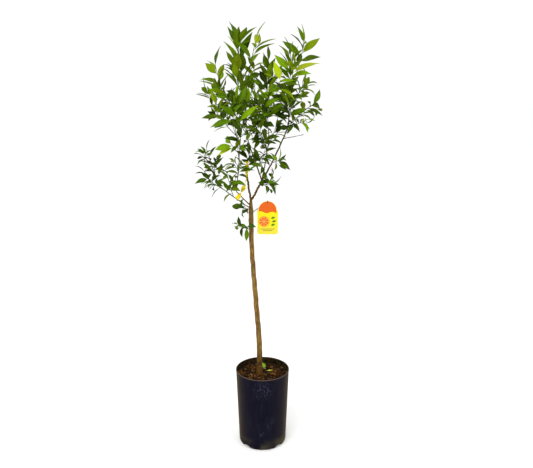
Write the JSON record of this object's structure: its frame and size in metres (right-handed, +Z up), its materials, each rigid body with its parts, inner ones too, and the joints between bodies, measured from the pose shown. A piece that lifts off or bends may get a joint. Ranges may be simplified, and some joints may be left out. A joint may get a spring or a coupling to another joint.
{
  "type": "potted mandarin tree",
  "caption": "Young citrus tree with a clean stem, forked boughs and an open leafy crown, in a round nursery pot with a hanging tag.",
  "frame": {"origin": "middle of the pot's flat underside", "axes": "+Z up along the stem; -Y is the side that the picture shows, which the hanging tag faces"},
  "size_m": [0.485, 0.3788, 1.7005],
  "materials": {
    "pot": "satin moulded plastic, dusty",
    "soil": "rough bark chips and peat",
    "bark": "golden brown young bark with darker streaks",
    "leaf_dark": "mature leaf, satin above and matt below",
    "leaf_mid": "leaf, satin above and matt below",
    "leaf_bright": "young leaf, satin above and matt below",
    "leaf_lime": "newest leaf, satin",
    "leaf_olive": "young leaf with a bronze tint, satin",
    "tag": "printed plastic card",
    "tie": "dark plastic",
    "strip": "thin plastic strip",
    "fallen_green": "dropped leaf, matt",
    "fallen_yellow": "dropped leaf turning yellow, matt"
  },
  "bodies": {
    "root": {"pot": "pot", "soil": "soil", "trunk": "bark", "right_bough": "bark", "central_bough": "bark", "right_upper_bough": "bark", "inner_left_bough": "bark", "inner_right_bough": "bark", "left_inner_bough": "bark", "left_rising_bough": "bark", "left_low_bough": "bark", "side_twig": "bark", "right_leader": "bark", "left_leader": "bark", "middle_leader": "bark", "left_arm": "bark", "front_bough": "bark", "back_bough": "bark", "foliage_top_left": "leaf_mid", "foliage_top_left_low": "leaf_mid", "foliage_top_middle": "leaf_bright", "foliage_middle": "leaf_dark", "foliage_middle_front": "leaf_bright", "foliage_right_crown": "leaf_mid", "foliage_right_light": "leaf_bright", "foliage_right_top": "leaf_mid", "foliage_right_outer": "leaf_mid", "foliage_right_hang": "leaf_mid", "foliage_right_star": "leaf_bright", "foliage_right_dense": "leaf_dark", "foliage_right_back": "leaf_dark", "foliage_centre_front": "leaf_dark", "foliage_left_front": "leaf_mid", "foliage_left_upper": "leaf_mid", "foliage_left_outer": "leaf_mid", "foliage_left_mid": "leaf_dark", "foliage_low_front": "leaf_mid", "foliage_low_front_right": "leaf_mid", "foliage_left_back": "leaf_dark", "foliage_back_low": "leaf_dark", "foliage_back_top": "leaf_mid", "foliage_mid_low": "leaf_dark", "foliage_mid_right": "leaf_dark", "foliage_bough_side": "leaf_mid", "foliage_inner_low": "leaf_dark", "foliage_fork": "leaf_dark", "foliage_central": "leaf_dark", "foliage_left_inner": "leaf_dark", "foliage_rising": "leaf_lime", "foliage_left_between": "leaf_mid", "foliage_low_left_out": "leaf_dark", "foliage_low_left": "leaf_dark", "foliage_low_inner": "leaf_mid", "foliage_trunk_top": "leaf_dark", "foliage_trunk_shoot": "leaf_dark", "tag": "tag", "tag_tie": "tie", "strip_label": "strip", "fallen_green_leaf": "fallen_green", "fallen_yellow_leaf": "fallen_yellow"}
  },
  "joints": []
}
